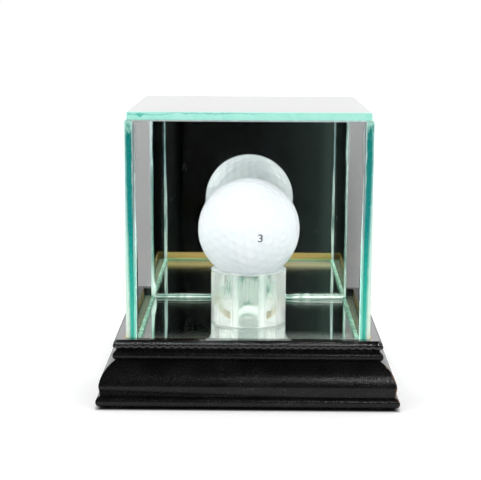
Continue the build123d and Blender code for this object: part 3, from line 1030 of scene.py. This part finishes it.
def pale_floor():
    """A pale floor, lifted to white where it is looked at, with a painted shadow right under the base: dark
    there and not lifted.
    """
    f = Finish("pale_floor")
    rays = f.add("LightPath").outputs
    straight = f.maths("MAXIMUM", rays["Is Camera Ray"],
                       f.maths("MAXIMUM", rays["Is Glossy Ray"], rays["Is Transmission Ray"]))
    straight = f.times(straight, f.between(rays["Diffuse Depth"], 0, 1, 1, 0, False))
    x, y, _ = f.axes(f.place)
    reach = f.maths("MAXIMUM", f.maths("ABSOLUTE", x), f.maths("ABSOLUTE", y))
    # Painted shadow: nearly black under the base, and the lift only starts outside it.
    tone = f.blend(f.between(reach, 0.0568, 0.0590), (0.03, 0.03, 0.03), (0.8, 0.8, 0.8))
    matt = f.add("BsdfDiffuse", {0: tone}).outputs[0]
    far = f.add("VectorMath", {0: f.place}, operation="LENGTH").outputs["Value"]
    amount = f.maths("ADD", f.between(reach, BASE_REACH, 0.0600, 0, 0.36), f.between(far, 0.15, 1.5, 0, 0.3))
    lift = f.add("Emission", {0: (1, 1, 1, 1), 1: f.times(straight, amount)}).outputs[0]
    floor = f.done(f.add("AddShader", {0: matt, 1: lift}).outputs[0])
    stage_plane("floor", (12, 12), floor, location=(0, 0, 0))


def card_finish(f, tone, glass_faces):
    """Shows tone to reflected rays that have passed at most glass_faces faces, and nothing to other rays."""
    rays = f.add("LightPath").outputs
    dim = f.add("Emission", {0: tone, 1: 1.0}).outputs[0]
    seen = f.times(f.between(rays["Glossy Depth"], 0, 1, 0, 1, False),
                   f.between(rays["Diffuse Depth"], 0, 1, 1, 0, False))
    few = f.between(rays["Transmission Depth"], glass_faces, glass_faces + 1, 1, 0, False)
    return f.done(f.mixed(f.times(seen, few), f.add("BsdfTransparent").outputs[0], dim))


def dark_cards():
    """Dark cards in front, seen only in reflections, as the dark room is in the mirrors. The ones beside are
    dark to the lacquer alone."""
    f = Finish("dark_room")
    x, y, _ = f.axes(f.place)
    bearing = f.maths("DIVIDE", x, f.maths("SUBTRACT", 0.642, y))
    # Painted reflection: the room that the mirrors show, darker and lighter by bearing.
    tone = f.shades(f.between(bearing, -0.1, 0.1, 0, 1, False),
                    (0.0, (0.004, 0.005, 0.005)), (0.12, (0.001, 0.001, 0.001)),
                    (0.16, (0.009, 0.011, 0.010)), (0.24, (0.0, 0.0, 0.0)), (0.54, (0.0, 0.0, 0.0)),
                    (0.62, (0.003, 0.004, 0.004)), (0.75, (0.014, 0.021, 0.019)),
                    (0.80, (0.032, 0.048, 0.042)), (0.84, (0.026, 0.038, 0.034)),
                    (0.88, (0.006, 0.009, 0.008)))
    room = card_finish(f, tone, 9)
    f = Finish("dark_sides")
    beside = card_finish(f, f.blend(f.grain(0.5), (0.004, 0.004, 0.004), (0.010, 0.010, 0.010)), 0)
    upright, across = (math.pi / 2, 0, 0), (math.pi / 2, 0, math.pi / 2)
    for name, size, finish, place, turn in (
            ("dark_floor_card", (0.9, 1.6), room, (0, -0.93, 0.0006), (0, 0, 0)),
            ("dark_wall_card", (2.6, 2.4), room, (0, -1.73, 1.2), upright),
            ("dark_ceiling_card", (2.6, 2.6), room, (0, -0.43, 2.2), (0, 0, 0)),
            ("dark_left_card", (2.4, 1.9), beside, (-1.3, -0.85, 1.0), across),
            ("dark_right_card", (2.4, 1.9), beside, (1.3, -0.85, 1.0), across)):
        card = stage_plane(name, size, finish, location=place, rotation=turn)
        card.visible_camera = card.visible_diffuse = card.visible_shadow = False


def lamps():
    """Soft lamps, and small ones that light nothing matt and only put glints on gloss. The last two light
    only what is matt."""
    ball, ledge = (0, 0, 0.06), (0, 0, 0.03)
    lamp("left_softbox", (-0.77, -0.62, 0.42), ball, (0.26, 0.30), 1.3)
    lamp("right_softbox", (0.74, -0.66, 0.46), ball, (0.26, 0.30), 1.3)
    for name, place, watts in (("left_glint", (-0.71, -0.51, 0.70), 5.0),
                               ("right_glint", (0.69, -0.53, 0.71), 5.0),
                               ("shoulder_glint", (0.25, -0.95, 0.49), 2.0)):
        glint = lamp(name, place, ledge, (0.07, 0.07), watts)
        glint.visible_diffuse = glint.visible_transmission = False
    for name, place, size, watts in (("top_softbox", (0, 0.45, 1.1), (0.9, 0.5), 0.5),
                                     ("front_fill", (0, -1.15, 0.16), (0.9, 0.35), 1.4)):
        soft = lamp(name, place, ball, size, watts)
        soft.visible_glossy = soft.visible_transmission = False


scene.view_settings.view_transform = "Standard"
scene.cycles.max_bounces = 36
scene.cycles.glossy_bounces = 14
scene.cycles.transmission_bounces = 28
scene.cycles.transparent_max_bounces = 32

camera()
mouldings()
hidden_parts()
mirrors()
panes()
seams()
tube()
numeral(*dimpled_ball())
air()
pale_floor()
dark_cards()
lamps()
put_down()

bpy.context.view_layer.update()
